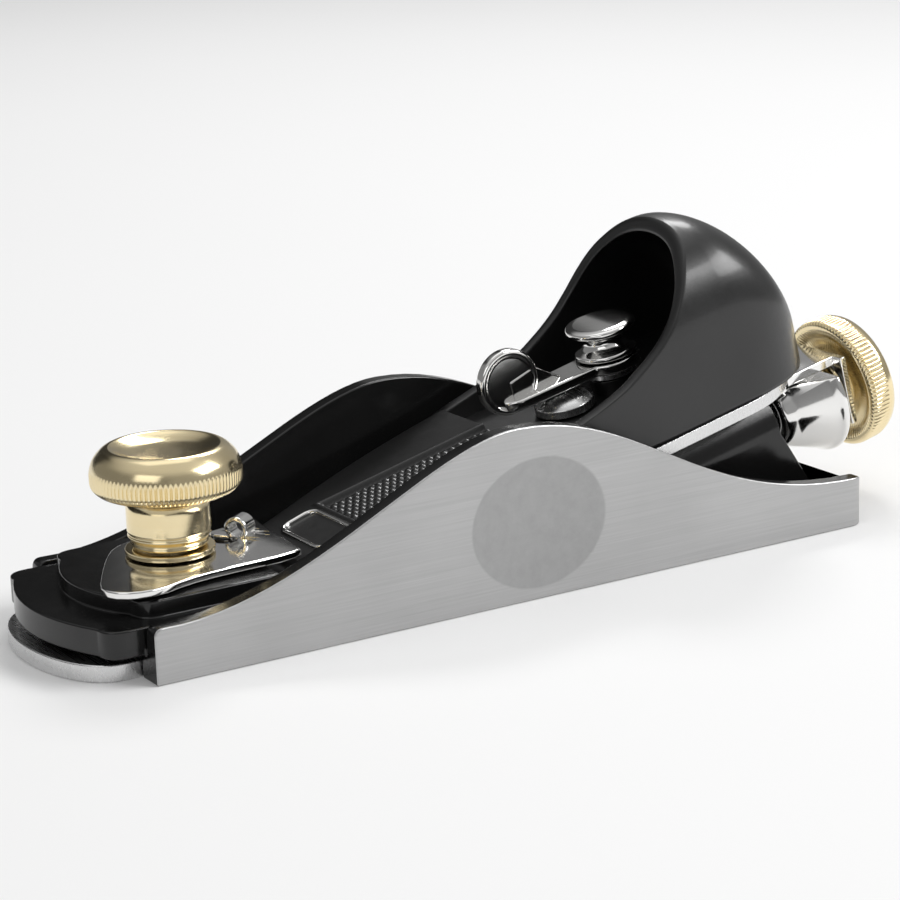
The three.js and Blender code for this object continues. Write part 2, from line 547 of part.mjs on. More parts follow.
function capScrew() {
  const seat = WEB.top + GAP;
  const { radius, head, headHeight, foot, slot } = SCREW;
  const driver = block(-head, head, -slot / 2, slot / 2, seat + headHeight / 2, seat + HALF);
  return turned([[0, foot], [radius, foot], [radius, seat], [head, seat], [head, seat + headHeight / 2],
    [head * 0.8, seat + headHeight * 0.8], [head * 0.45, seat + headHeight], [0, seat + headHeight]])
    .subtract(driver);
}
add(bedFrame, 'cap_screw', capScrew(), STEEL).position.set(-SCREW_AT, 0, 0);

// ---------------------------------------------------------------- cam lever
function camLever() {
  const reach = CAM_AT - PAD.at;
  const arm = new THREE.Shape();
  arm.absarc(0, 0, CAM.hub, CAM_FORK_ANGLE, 2 * Math.PI - CAM_FORK_ANGLE, false);
  arm.absarc(reach - OVER, 0, ARM_HALF, -Math.PI / 2, Math.PI / 2, false);
  const plate = upright(arm, CAM.level, CAM.level + CAM.plate, 14);
  const half = PAD.thickness / 2;
  const padDisc = disc(PAD.radius, -half, half, 0, 0, 36).rotate([90, 0, 0]).translate([reach, 0, PAD.level]);
  const low = CAM.level + OVER;
  const gusset = across(polygon([[reach - GUSSET.run, low], [reach, low], [reach, PAD.level],
    [reach - GUSSET.shoulder, PAD.level + OVER]]), -half, half);
  return plate.add(padDisc).add(gusset).subtract(disc(CAM.shaft + GAP, 0, HALF, 0, 0, 24));
}
add(bedFrame, 'cam_lever', camLever(), NICKEL).position.set(-CAM_AT, 0, 0);

const camBottom = CUTTER_TOP + SPRING.thickness + 2 * GAP;
function camRivet() {
  const base = CAM.level + CAM.plate + GAP;
  const { foot, waist, neck, cap, height } = SPOOL;
  return turned([[0, camBottom], [CAM.shaft, camBottom], [CAM.shaft, base], [foot, base], [foot, base + 0.8],
    [waist, base + 2.6], [neck, base + 4.2], [cap, base + 4.9], [cap, base + height - GAP],
    [0, base + height]], 36);
}
add(bedFrame, 'cam_rivet', camRivet(), NICKEL).position.set(-CAM_AT, 0, 0);
const camWasher = ring(CAM.shaft + GAP, CAM.boss + CAM_WASHER.overhang, 0, CAM_WASHER.thickness);
add(bedFrame, 'cam_washer', camWasher, STEEL)
  .position.set(-CAM_AT, 0, CAM.level - CAM_WASHER.thickness - GAP);
add(bedFrame, 'clamp_cam', disc(CAM.disc, camBottom, WEB_BOTTOM - GAP, 0, CAM.throw, 36)
  .subtract(disc(CAM.shaft + GAP, 0, HALF, 0, 0, 24)), STEEL).position.set(-CAM_AT, 0, 0);

// The spring's underside rides on the cutter and its tail is riveted up under the cap's web.
function pressureSpring() {
  const low = CUTTER_TOP + GAP;
  const high = WEB_BOTTOM - GAP;
  const { thickness, width, front, bend, tail } = SPRING;
  const bendAt = -CAM_AT - CAM.disc - CAM.throw;
  const end = -SPRING_RIVET.at - tail;
  const leaf = across(polygon([[-front, low], [-front, low + thickness], [bendAt + GAP, low + thickness],
    [bendAt - bend + GAP, high], [end, high], [end, high - thickness], [bendAt - bend, high - thickness],
    [bendAt, low]]), -width / 2, width / 2);
  return leaf.subtract(disc(SPRING_RIVET.radius + GAP, 0, HALF, -SPRING_RIVET.at, 0, 16));
}
add(bedFrame, 'pressure_spring', pressureSpring(), STEEL);

function springRivet() {
  const { radius, overhang } = SPRING_RIVET;
  const under = WEB_BOTTOM - SPRING.thickness - 2 * GAP;
  return turned([[0, under - overhang], [radius + overhang, under - overhang], [radius + overhang, under],
    [radius, under], [radius, WEB.top + GAP], [0, WEB.top + GAP]], 16);
}
add(bedFrame, 'spring_rivet', springRivet(), STEEL).position.set(-SPRING_RIVET.at, 0, 0);

// ---------------------------------------------------------------- cutter adjuster
function swingFrame() {
  const low = SWING.top - SWING.plate;
  const half = SWING.width / 2;
  const { from, to, small, large, flat, shoulder, lip } = BELL;
  const plate = block(-from - 2 * OVER, -SWING_AT, -half, half, low, SWING.top)
    .add(disc(half, low, SWING.top, -SWING_AT, 0));
  const bell = alongStud(turned([[0, from], [small, from], [small + lip, from + shoulder],
    [large - lip, to - 2 * lip], [large, to - lip], [large, to], [0, to]], 40));
  const trimmed = bell.subtract(block(-FAR, 0, -HALF, HALF, flat, HALF));
  const web = block(-from - 2 * OVER, -from, -half, half, STUD_AXIS, SWING.top);
  const bore = alongStud(disc(WHEEL.stud + GAP, from - OVER, to + OVER, 0, 0, 24));
  const pinHole = disc(SWING.pin + GAP, -HALF, HALF, -SWING_AT, 0, 24);
  return plate.add(trimmed).add(web).subtract(bore).subtract(pinHole);
}
add(bedFrame, 'swing_frame', swingFrame(), NICKEL);

function swingPin() {
  const { pin, head, foot, top, plate } = SWING;
  const bottom = top - plate - GAP - foot;
  return turned([[0, bottom], [pin, bottom], [pin, top + GAP], [pin + head, top + GAP],
    [pin + head, SLIDE_TOP - GAP], [0, SLIDE_TOP - GAP]], 24);
}
add(bedFrame, 'swing_pin', swingPin(), STEEL).position.set(-SWING_AT, 0, 0);

const adjusterStud = disc(WHEEL.stud, BELL.from + OVER, WHEEL_BACK + OVER, 0, 0, 24);
add(bedFrame, 'adjuster_stud', alongStud(adjusterStud), STEEL);

// A plate under the cutter: its lug fills one feed slot, its fork rides in the wheel's groove.
function cutterSlide() {
  const half = SLIDE.width / 2;
  const under = SLIDE_TOP - SLIDE.plate;
  const forkEnd = -FORK.at - FORK.thickness;
  const front = block(-SLIDE.step - SLIDE.stepLength, -SLIDE.from, -half, half, under, SLIDE_TOP);
  const step = block(-SLIDE.step - SLIDE.stepLength, -SLIDE.step, -half, half, under - SLIDE.drop, SLIDE_TOP);
  const rear = block(forkEnd, -SLIDE.step, -half, half, under - SLIDE.drop, SLIDE_TOP - SLIDE.drop);
  const lugHalf = FEED_SLOTS.width / 2 - GAP;
  const lugAt = -FEED_SLOTS.first - FEED_SLOTS.pitch;
  const lugLong = FEED_SLOTS.length / 2 - GAP;
  const lug = block(lugAt - lugLong, lugAt + lugLong, -lugHalf, lugHalf, under, CUTTER_TOP - GAP);
  const ears = block(forkEnd, -FORK.at, -FORK.width / 2, FORK.width / 2, STUD_AXIS - FORK.reach,
    SLIDE_TOP - SLIDE.drop);
  const notch = WHEEL.groove + GAP;
  const mouth = alongStud(disc(notch, FORK.at - OVER, -forkEnd + OVER))
    .add(block(forkEnd - OVER, -FORK.at + OVER, -notch, notch, -HALF, STUD_AXIS));
  return front.add(step).add(rear).add(lug).add(ears.subtract(mouth));
}
add(bedFrame, 'cutter_slide', cutterSlide(), STEEL);

function depthWheel() {
  const { radius: rim, hub, collar, flange, groove, stud } = WHEEL;
  const bore = stud + GAP;
  const front = FORK.at - GAP;
  const web = FORK.at + FORK.thickness + GAP;
  return alongStud(turned([
    [bore, front - flange], [collar, front - flange], [collar, front], [groove, front], [groove, web],
    [hub, web], [hub, web + 1.2], [rim - 3.2, web + 1.6], [rim - 2.1, web + 0.4], [rim - 0.7, WHEEL_FRONT],
    [rim, WHEEL_FRONT + 0.6], [rim, WHEEL_BACK - 2.4], [rim - 0.9, WHEEL_BACK - 0.9], [rim - 2.6, WHEEL_BACK],
    [hub + 1.6, WHEEL_BACK - 0.2], [hub, WHEEL_BACK - 1.4], [bore, WHEEL_BACK - 1.6],
    [bore, front - flange]], 44));
}
add(bedFrame, 'depth_wheel', depthWheel(), BRASS);

export default group;
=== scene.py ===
# %% [markdown]
# # A low-angle block plane with a hooded lever cap
# The real tool is a small iron casting that carries a steel cutter on a low bed. A hooded cap
# clamps the cutter, a brass wheel feeds it, and a brass finger knob locks the sliding toe plate.
# The machined model gives every place and every joint. This lesson adds what the machinist's
# model leaves out: rounded edges, knurls, hatching, enamel, ground iron, nickel and brass.

# %% Load the frame
import json
from math import cos, pi, radians, sin

import bmesh
import bpy
import numpy as np
from mathutils import Matrix, Vector


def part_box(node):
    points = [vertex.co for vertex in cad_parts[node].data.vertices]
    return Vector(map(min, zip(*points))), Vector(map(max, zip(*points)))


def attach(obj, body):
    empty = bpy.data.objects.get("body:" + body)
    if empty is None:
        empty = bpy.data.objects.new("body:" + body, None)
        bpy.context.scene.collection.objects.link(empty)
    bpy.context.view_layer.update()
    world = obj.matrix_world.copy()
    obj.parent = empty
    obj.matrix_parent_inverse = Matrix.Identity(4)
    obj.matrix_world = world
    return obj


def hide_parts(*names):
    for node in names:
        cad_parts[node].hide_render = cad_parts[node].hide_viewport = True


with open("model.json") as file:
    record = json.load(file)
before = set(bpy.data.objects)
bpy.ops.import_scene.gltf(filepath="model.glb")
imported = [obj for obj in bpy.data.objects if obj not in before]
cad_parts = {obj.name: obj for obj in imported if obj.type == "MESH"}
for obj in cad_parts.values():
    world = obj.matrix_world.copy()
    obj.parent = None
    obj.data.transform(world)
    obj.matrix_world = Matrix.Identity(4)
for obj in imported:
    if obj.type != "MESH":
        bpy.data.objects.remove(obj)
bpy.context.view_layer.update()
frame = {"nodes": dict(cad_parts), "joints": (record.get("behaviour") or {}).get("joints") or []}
scene = bpy.context.scene

# %% [markdown]
# ## Two coordinate frames
# The casting is drawn upright, but the cutter, the cap and the adjuster all lie on the sloping
# bed. Drawing them in the bed's own axes keeps their outlines simple. The slope comes from the
# cutter's feed joint, and the bed meets the sole one mouth opening behind the toe plate, so no
# angle or place is guessed here. In the bed's axes, X points down the slope, and a place "s"
# up the bed is at X = -s. All sizes in this lesson are millimetres.

# %% The bed's axes
MM = 0.001
MOUTH_OPENING = 2
joints = {joint["name"]: joint for joint in frame["joints"]}
up_bed = Vector(joints["cutter_feed"]["axis"])
off_bed = Vector(joints["cam_turn"]["axis"])
mouth = Vector((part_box("toe_plate")[0].x - MOUTH_OPENING * MM, 0, 0))
bed = Matrix.Translation(mouth) @ Matrix((-up_bed, (0, 1, 0), off_bed)).transposed().to_4x4()
print("mouth at", round(mouth.x / MM, 2), "bed axes", up_bed[:], off_bed[:])

# %% [markdown]
# ## Shader arithmetic in plain Python
# A finish is a sum: a base value, plus grain, plus wear. Wrapping a socket in a small class lets
# that sum be written as ordinary arithmetic, and each operator adds the Math node it stands for.
# Every other node comes from one method that takes its type, its settings and its inputs.


# %% A socket that can be added and multiplied
class Level:
    def __init__(self, finish, socket):
        self.finish, self.socket = finish, socket

    def __add__(self, other):
        return self.finish.math("ADD", self, other)

    def __sub__(self, other):
        return self.finish.math("SUBTRACT", self, other)

    def __rsub__(self, other):
        return self.finish.math("SUBTRACT", other, self)

    def __mul__(self, other):
        return self.finish.math("MULTIPLY", self, other)

    def __pow__(self, other):
        return self.finish.math("POWER", self, other)

    __radd__, __rmul__ = __add__, __mul__

    def above(self, edge, softness):
        """0 below the edge, 1 above it, with a soft step between."""
        settings = {"interpolation_type": "SMOOTHSTEP"}
        ends = {"Value": self, "From Min": edge, "From Max": edge + softness}
        return self.finish.node("ShaderNodeMapRange", settings, ends)


# %% A finish and its nodes
class Finish:
    def __init__(self, name, owner=None):
        self.owner = owner or bpy.data.materials.new(name)
        self.owner.use_nodes = True
        self.tree = self.owner.node_tree
        self.tree.nodes.clear()

    def node(self, kind, settings=None, inputs=None, out=0):
        made = self.tree.nodes.new(kind)
        for key, value in (settings or {}).items():
            setattr(made, key, value)
        for key, value in (inputs or {}).items():
            if isinstance(value, Level):
                self.tree.links.new(value.socket, made.inputs[key])
            else:
                made.inputs[key].default_value = value
        return Level(self, made.outputs[out]) if len(made.outputs) else None

    def math(self, operation, *values):
        return self.node("ShaderNodeMath", {"operation": operation}, dict(enumerate(values)))

    def place(self, x=1, y=1, z=1):
        """The piece's own coordinates, stretched along each axis."""
        own = self.node("ShaderNodeTexCoord", out="Object")
        settings = {"operation": "MULTIPLY"}
        return self.node("ShaderNodeVectorMath", settings, {0: own, 1: (x, y, z)})

    def axis(self, vector, name):
        return self.node("ShaderNodeSeparateXYZ", None, {0: vector}, name)

    def noise(self, vector, scale, detail=3.0, rough=0.55):
        inputs = {"Vector": vector, "Scale": scale, "Detail": detail, "Roughness": rough}
        return self.node("ShaderNodeTexNoise", None, inputs)

    def colour(self, low, high, share):
        """One colour turning into another as share goes from 0 to 1."""
        ends = {"Factor": share, 6: low, 7: high}
        return self.node("ShaderNodeMix", {"data_type": "RGBA"}, ends, 2)

    def bump(self, height, depth, strength=1.0):
        inputs = {"Height": height, "Distance": depth * MM, "Strength": strength}
        return self.node("ShaderNodeBump", None, inputs)

    def surface(self, **inputs):
        named = {key.replace("_", " "): value for key, value in inputs.items()}
        shader = self.node("ShaderNodeBsdfPrincipled", None, named)
        self.node("ShaderNodeOutputMaterial", None, {"Surface": shader})
        return self.owner


def grey(level):
    return (level, level, level, 1)


# %% [markdown]
# ## Black enamel and ground iron
# The casting is dipped in glossy black enamel, and its cheeks and sole are then ground bare.
# Both are one surface on one piece of iron, so one material carries both, and a mask picks the
# bare metal: the outer faces that look sideways, and the underside. The surface grinder leaves
# fine streaks along the tool, which noise stretched along X draws. Inside the finger rests the
# wheel never reached, so the iron there is rougher, darker and mottled.

# %% The casting's finish
half_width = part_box("plane_body")[1].y / MM
GRIND_DEPTH = 1.15               # how far in from the widest point a face can lie and still be ground
REST = {"x": -6.8, "z": 13.7, "half_length": 14.2, "half_height": 12.0}


def casting_finish():
    f = Finish("enamelled_casting")
    own = f.place()
    x, y, z = (f.axis(own, name) for name in "XYZ")
    facing = f.node("ShaderNodeTexCoord", out="Normal")
    sideways = f.math("ABSOLUTE", f.axis(facing, "Y"))
    outside = f.math("ABSOLUTE", y).above((half_width - GRIND_DEPTH) * MM, 0.02 * MM)
    underside = 1 - z.above(0.04 * MM, 0.01 * MM)
    cheek = outside * sideways.above(0.3, 0.05)
    bare = f.math("MAXIMUM", cheek, underside)
    along_rest = (x - REST["x"] * MM) * (1 / (REST["half_length"] * MM))
    up_rest = (z - REST["z"] * MM) * (1 / (REST["half_height"] * MM))
    rest = 1 - (along_rest ** 2 + up_rest ** 2).above(0.9, 0.08)
    streak = f.noise(f.place(34, 34, 2600), 1.0, 4)
    scratch = f.noise(f.place(90, 90, 9000), 1.0, 2)
    cloud = f.noise(own, 60, 2)
    mottle = f.noise(own, 420, 5, 0.7)
    grain = streak * 0.6 + scratch * 0.4
    ground = f.colour(grey(0.33), grey(0.62), grain * 0.75 + cloud * 0.25)
    dull = f.colour(grey(0.32), grey(0.48), mottle)
    iron = f.colour(ground, dull, rest * 0.85)
    skin = f.noise(own, 700, 2)
    black = f.colour(grey(0.0035), grey(0.010), cloud)
    iron_rough = grain * 0.22 + 0.25 + rest * (mottle * 0.15 + 0.08)
    enamel_rough = 0.11 + skin * 0.10
    lacquer = f.bump(skin, 0.02, 0.35)
    height = bare * (1 - rest) * grain * 0.6 + bare * rest * mottle
    relief = {"Height": height, "Distance": 0.035 * MM, "Strength": 0.8, "Normal": lacquer}
    return f.surface(Base_Color=f.colour(black, iron, bare), Metallic=bare,
                     Roughness=bare * iron_rough + (1 - bare) * enamel_rough,
                     Normal=f.node("ShaderNodeBump", None, relief))


casting = casting_finish()
print("ground faces lie beyond", round(half_width - GRIND_DEPTH, 2), "mm from the middle")


# %% [markdown]
# ## The loose pieces' finishes
# The lever cap wears the same enamel but is never ground. Levers and the adjuster's bell are
# nickel plated: nearly a mirror, with the faint waves of a buffed surface. The toe plate, the
# cutter and the small fittings are ground steel. The knob and the wheel are turned from brass,
# and the lathe's feed leaves rings. Each turned mesh will keep the radius and the height of its
# points in an attribute, and noise of that attribute draws the rings, so they turn with the piece.
# Fingers leave soft patches that are a little duller.

# %% Enamel, nickel, steel and brass
def cap_enamel():
    f = Finish("cap_black")
    own = f.place()
    skin, cloud, dust = f.noise(own, 650, 2), f.noise(own, 45, 2), f.noise(own, 2600, 1)
    rough = 0.24 + skin * 0.12 + cloud * 0.08 + dust.above(0.68, 0.1) * 0.1
    return f.surface(Base_Color=f.colour(grey(0.004), grey(0.012), cloud), Roughness=rough,
                     Coat_Weight=0.1 + cloud * 0.2, Coat_Roughness=0.12,
                     Normal=f.bump(skin + dust * 0.3, 0.03, 0.4))


def nickel_plate():
    f = Finish("buffed_nickel")
    own = f.place()
    wave, patch = f.noise(own, 160, 2), f.noise(own, 70, 4)
    buff = f.noise(f.place(400, 3000, 3000), 1.0, 3)
    return f.surface(Base_Color=f.colour((0.78, 0.775, 0.76, 1), (0.93, 0.925, 0.91, 1), patch),
                     Metallic=1.0, Roughness=0.07 + buff * 0.08 + patch.above(0.55, 0.2) * 0.06,
                     Normal=f.bump(wave + buff * 0.05, 0.05, 0.25))


def ground_steel():
    f = Finish("ground_steel")
    grain = f.noise(f.place(2600, 40, 700), 1.0, 4)
    cloud = f.noise(f.place(), 90, 3)
    return f.surface(Base_Color=f.colour(grey(0.58), grey(0.85), grain * 0.6 + cloud * 0.4),
                     Metallic=1.0, Roughness=0.18 + grain * 0.2,
                     Normal=f.bump(grain, 0.02, 0.6))


def turned_brass():
    f = Finish("turned_brass")
    own = f.place()
    rings = f.node("ShaderNodeAttribute", {"attribute_name": "tool_path"}, out="Vector")
    feed, coarse = f.noise(rings, 5200, 3), f.noise(rings, 900, 2)
    touch = f.noise(own, 130, 4, 0.6)
    shade = feed * 0.35 + coarse * 0.3 + touch * 0.35
    tint = f.colour((0.82, 0.66, 0.36, 1), (0.95, 0.84, 0.58, 1), shade)
    return f.surface(Base_Color=tint, Metallic=1.0,
                     Roughness=0.13 + feed * 0.10 + touch.above(0.5, 0.2) * 0.08,
                     Normal=f.bump(feed + coarse, 0.012, 0.5))


enamel, nickel, steel, brass = cap_enamel(), nickel_plate(), ground_steel(), turned_brass()
print("finishes", [m.name for m in (casting, enamel, nickel, steel, brass)])

# %% [markdown]
# ## Milled pieces: breaking the edges
# No milled or cast edge is knife sharp, and the thin bright line along a broken edge is what
# makes metal look like metal. The machined solids already have the right form, so a copy of each
# is cleaned of the triangles inside its flat faces, its edges are bevelled, and its normals are
# weighted by face size, which keeps the flats flat. A bevel can throw a point just past the
# machined piece, so each point is held inside that piece's box. Casting edges get a wider break
# than steel.


# %% A copy with broken edges
def settle(piece, finish, body, nodes=()):
    """Gives a piece its finish, its body and the machined nodes that it stands for."""
    piece.data.materials.clear()
    piece.data.materials.append(finish)
    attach(piece, body)
    if nodes:
        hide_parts(*nodes)
    print(piece.name, len(piece.data.polygons), "faces on", body)
    return piece


def stand(name, mesh, place=None):
    """Puts a mesh in the scene, with its place written into its points."""
    mesh.transform(place or Matrix.Identity(4))
    piece = bpy.data.objects.new(name, mesh)
    scene.collection.objects.link(piece)
    mesh.shade_smooth()
    return piece


def bake_modifiers(piece):
    bpy.context.view_layer.update()
    seen = piece.evaluated_get(bpy.context.evaluated_depsgraph_get())
    mesh = bpy.data.meshes.new_from_object(seen)
    piece.modifiers.clear()
    piece.data = mesh


def break_edges(piece, width, turn=32, segments=3):
    bevel = piece.modifiers.new("broken_edge", "BEVEL")
    bevel.width, bevel.segments = width * MM, segments
    bevel.limit_method, bevel.angle_limit = "ANGLE", radians(turn)
    bevel.use_clamp_overlap = False
    facing = piece.modifiers.new("flat_faces", "WEIGHTED_NORMAL")
    facing.weight = 80
    bake_modifiers(piece)


def milled(node, body, finish, width):
    work = bmesh.new()
    work.from_mesh(frame["nodes"][node].data)
    bmesh.ops.remove_doubles(work, verts=work.verts, dist=1e-6)
    bmesh.ops.dissolve_limit(work, angle_limit=radians(1), verts=work.verts, edges=work.edges)
    mesh = bpy.data.meshes.new(node + "_milled")
    work.to_mesh(mesh)
    work.free()
    if "custom_normal" in mesh.attributes:
        mesh.attributes.remove(mesh.attributes["custom_normal"])
    piece = stand(node + "_milled", mesh)
    break_edges(piece, width)
    low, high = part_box(node)
    for vertex in piece.data.vertices:
        vertex.co = [min(max(c, a), b) for c, a, b in zip(vertex.co, low, high)]
    return settle(piece, finish, body, [node])


# %% Break the edges of the casting and the fittings
milled("plane_body", "body", casting, 0.35)
for node, body, slot, finish, width in (
        ("toe_plate", "toe", "steel", steel, 0.3),
        ("throat_lever", "throat", "nickel_plate", nickel, 0.35),
        ("cutter_iron", "cutter", "steel", steel, 0.18),
        ("cutter_slide", "cutter", "nickel_plate", nickel, 0.18),
        ("cap_screw", "screw", "steel", steel, 0.2),
        ("clamp_stud", "toe", "steel", steel, 0.2),
        ("throat_pin", "body", "steel", steel, 0.15),
        ("cam_washer", "cap", "steel", steel, 0.15),
        ("clamp_cam", "cam", "steel", steel, 0.2),
        ("pressure_spring", "cap", "steel", steel, 0.12),
        ("spring_rivet", "cap", "steel", steel, 0.12),
        ("swing_pin", "body", "steel", steel, 0.15),
        ("adjuster_stud", "swing", "steel", steel, 0.2)):
    milled(node, body, finish, width)

# %% [markdown]
# ## Turned pieces
# The knob, the wheel, their washer and the lever's spool come off a lathe, so each is one profile
# of radius and height swept round an axis. Corners are rounded in the profile itself, and a knurl
# is cut by letting the radius follow a wave of narrow grooves over one stretch of the height.
# Enough segments per groove keep the teeth crisp.


# %% Profiles and the lathe
def eased(points, radius, steps=5):
    """The profile with each inner corner replaced by a small curve."""
    corners = [Vector(p) for p in points]
    out = [corners[0]]
    for before, corner, after in zip(corners, corners[1:], corners[2:]):
        back, on = before - corner, after - corner
        cut = min(radius, 0.45 * back.length, 0.45 * on.length)
        start, end = corner + back.normalized() * cut, corner + on.normalized() * cut
        for i in range(steps + 1):
            t = i / steps
            out.append(start * (1 - t) ** 2 + corner * 2 * t * (1 - t) + end * t ** 2)
    return out + [corners[-1]]


def grooves(turn, count, sharpness=2.5):
    return (0.5 + 0.5 * cos(count * turn)) ** sharpness


def lathe(name, points, place, segments=160, knurl=None):
    """Turns a profile; knurl is (count, depth, from height, to height)."""
    rings, work = [], bmesh.new()
    count, depth, low, high = knurl or (0, 0, 0, 0)
    for step in range(segments):
        turn = 2 * pi * step / segments
        ring = []
        for radius, height in points:
            share = min(1, max(0, height - low), max(0, high - height))
            r = radius - depth * share * grooves(turn, count)
            ring.append(work.verts.new((r * cos(turn) * MM, r * sin(turn) * MM, height * MM)))
        rings.append(ring)
    for one, two in zip(rings, rings[1:] + rings[:1]):
        for a, b, c, d in zip(one, two, two[1:], one[1:]):
            work.faces.new((a, b, c, d))
    bmesh.ops.remove_doubles(work, verts=work.verts, dist=1e-7)
    bmesh.ops.dissolve_degenerate(work, dist=1e-7, edges=work.edges)
    bmesh.ops.recalc_face_normals(work, faces=work.faces)
    mesh = bpy.data.meshes.new(name)
    work.to_mesh(mesh)
    work.free()
    tool_path = mesh.attributes.new("tool_path", "FLOAT_VECTOR", "POINT")
    for vertex, cut in zip(mesh.vertices, tool_path.data):
        cut.vector = (vertex.co.xy.length, 0, vertex.co.z)
    return stand(name, mesh, place)


# %% [markdown]
# ## Plates and joined pieces
# A plate is an outline pushed up between two heights, or across the tool, with its edges broken.
# Pieces that the real maker casts or brazes together are joined into one mesh.


# %% Plates from outlines
def plate(name, outline, low, high, place, width, across=False):
    """An outline of [x, y] points as a plate; across puts the outline upright, as [x, z]."""
    work = bmesh.new()
    rings = []
    for level in (low, high):
        ring = [(x, level, y) if across else (x, y, level) for x, y in outline]
        rings.append([work.verts.new([c * MM for c in corner]) for corner in ring])
    work.faces.new(rings[0])
    work.faces.new(rings[1][::-1])
    for a, b, c, d in zip(*(ring[i:] + ring[:i] for ring, i in zip(rings * 2, (0, 0, 1, 1)))):
        work.faces.new((a, b, d, c))
    bmesh.ops.recalc_face_normals(work, faces=work.faces)
    mesh = bpy.data.meshes.new(name)
    work.to_mesh(mesh)
    work.free()
    piece = stand(name, mesh, place)
    break_edges(piece, width)
    return piece


def join(name, first, *others):
    """One mesh from several."""
    work = bmesh.new()
    for piece in (first, *others):
        work.from_mesh(piece.data)
    mesh = bpy.data.meshes.new(name)
    work.to_mesh(mesh)
    work.free()
    for piece in others:
        bpy.data.objects.remove(piece)
    first.data, first.name = mesh, name
    return first


# %% [markdown]
# ## The finger knob
# The knob stands on the toe plate's stud, on a thin washer. Its neck has a fine groove, its top is
# dished, and the lower half of its rim is serrated. Its radius and place come from the machined
# knob's box.

# %% Turn the knob and its washer
knob_low, knob_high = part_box("finger_knob")
washer_low, washer_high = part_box("knob_washer")
rim = (knob_high.y - knob_low.y) / 2 / MM
knob_x = (knob_low.x + knob_high.x) / 2
KNOB_BORE, KNOB_BORE_DEPTH = 3.35, 10.75
SERRATIONS, SEGMENTS_PER_TOOTH = 96, 8
knob_profile = eased([
    (KNOB_BORE, 0), (6.5, 0), (6.5, 1.1), (7.1, 1.9), (6.85, 2.3), (7.1, 2.7), (7.1, 7.0), (7.7, 8.2),
    (9.4, 8.9), (rim - 1.2, 9.5), (rim, 10.7), (rim, 13.4), (rim - 0.7, 15.3), (rim - 2.2, 16.8),
    (rim - 3.4, 17.3), (rim - 4.6, 16.7), (rim - 6.5, 16.0), (rim - 9.5, 15.75), (0, 15.7)], 1.2)
blind_bore = [(0, KNOB_BORE_DEPTH), (KNOB_BORE, KNOB_BORE_DEPTH)]
knob = lathe("finger_knob_turned", blind_bore + knob_profile,
             Matrix.Translation((knob_x, 0, knob_low.z)), SERRATIONS * SEGMENTS_PER_TOOTH,
             (SERRATIONS, 0.42, 8.9, 13.6))
settle(knob, brass, "knob", ["finger_knob"])
washer_radius = (washer_high.y - washer_low.y) / 2 / MM
thick = (washer_high.z - washer_low.z) / MM
washer_profile = [(5, 0), (washer_radius, 0), (washer_radius, thick), (KNOB_BORE, thick),
                  (KNOB_BORE, 0), (5, 0)]
washer = lathe("knob_washer_turned", eased(washer_profile, 0.2),
               Matrix.Translation((knob_x, 0, washer_low.z)))
settle(washer, brass, "knob", ["knob_washer"])

# %% [markdown]
# ## The depth wheel
# The wheel turns on the adjuster's stud, under the tail of the cutter. Its front face is dished,
# a collar with a groove takes the slide's fork, and only the front of its rim is knurled. Heights
# in this profile and the bell's are places up the bed, because the axis starts at the mouth.

# %% Turn the wheel on the stud's axis
STUD_DEPTH, STUD_BORE = -10, 3.15
KNURLS = 88
stud_axis = bed @ Matrix.Translation((0, 0, STUD_DEPTH * MM)) @ Matrix.Rotation(-pi / 2, 4, "Y")
wheel_profile = [
    (STUD_BORE, 125.55), (5.4, 125.55), (5.4, 126.55), (4.5, 126.55), (4.5, 128.55), (6.2, 128.55),
    (6.2, 129.5), (8.0, 130.0), (9.8, 129.9), (11.2, 129.0), (12.2, 128.95), (12.8, 129.6),
    (12.8, 133.2), (12.2, 134.6), (10.6, 135.6), (9.0, 135.7), (7.6, 135.2), (6.2, 134.4),
    (STUD_BORE, 134.1), (STUD_BORE, 125.55)]
wheel = lathe("depth_wheel_turned", eased(wheel_profile, 0.5), stud_axis,
              KNURLS * SEGMENTS_PER_TOOTH, (KNURLS, 0.4, 128.6, 133.0))
settle(wheel, brass, "wheel", ["depth_wheel"])

# %% [markdown]
# ## The adjuster's bell
# The stud is held in a nickel bell that flares towards the wheel. It is turned like the wheel,
# and then its top is planed flat so that it clears the slide above it. A bisecting plane does the
# planing, and fills the cut. The bell ends the narrow plate that swings on the pin.

# %% Turn and plane the bell
BELL_FROM, BELL_TO, BELL_FLAT = 112.5, 124.2, -4.4
bell_profile = [(STUD_BORE, BELL_FROM), (6.4, BELL_FROM), (7.2, BELL_FROM + 2.6), (7.6, BELL_FROM + 3.4),
                (10.6, BELL_TO - 2), (11.4, BELL_TO - 1), (11.4, BELL_TO), (STUD_BORE, BELL_TO),
                (STUD_BORE, BELL_FROM)]
bell = lathe("bell", eased(bell_profile, 0.8), stud_axis)
planed = bmesh.new()
planed.from_mesh(bell.data)
everything = planed.verts[:] + planed.edges[:] + planed.faces[:]
flat_at = bed @ Vector((0, 0, BELL_FLAT * MM))
cut = bmesh.ops.bisect_plane(planed, geom=everything, plane_co=flat_at, plane_no=off_bed, clear_outer=True)
rim_edges = [e for e in cut["geom_cut"] if isinstance(e, bmesh.types.BMEdge)]
bmesh.ops.holes_fill(planed, edges=rim_edges)
planed.to_mesh(bell.data)
planed.free()
SWING_AT, SWING_HALF, SWING_TOP, SWING_LOW = 88, 6, -2.6, -4.4
TONGUE_IN_BELL = 2
tongue_end = [(-SWING_AT + SWING_HALF * sin(a), SWING_HALF * cos(a)) for a in np.linspace(pi, 0, 40)]
tongue_root = [(-BELL_FROM - TONGUE_IN_BELL, side) for side in (SWING_HALF, -SWING_HALF)]
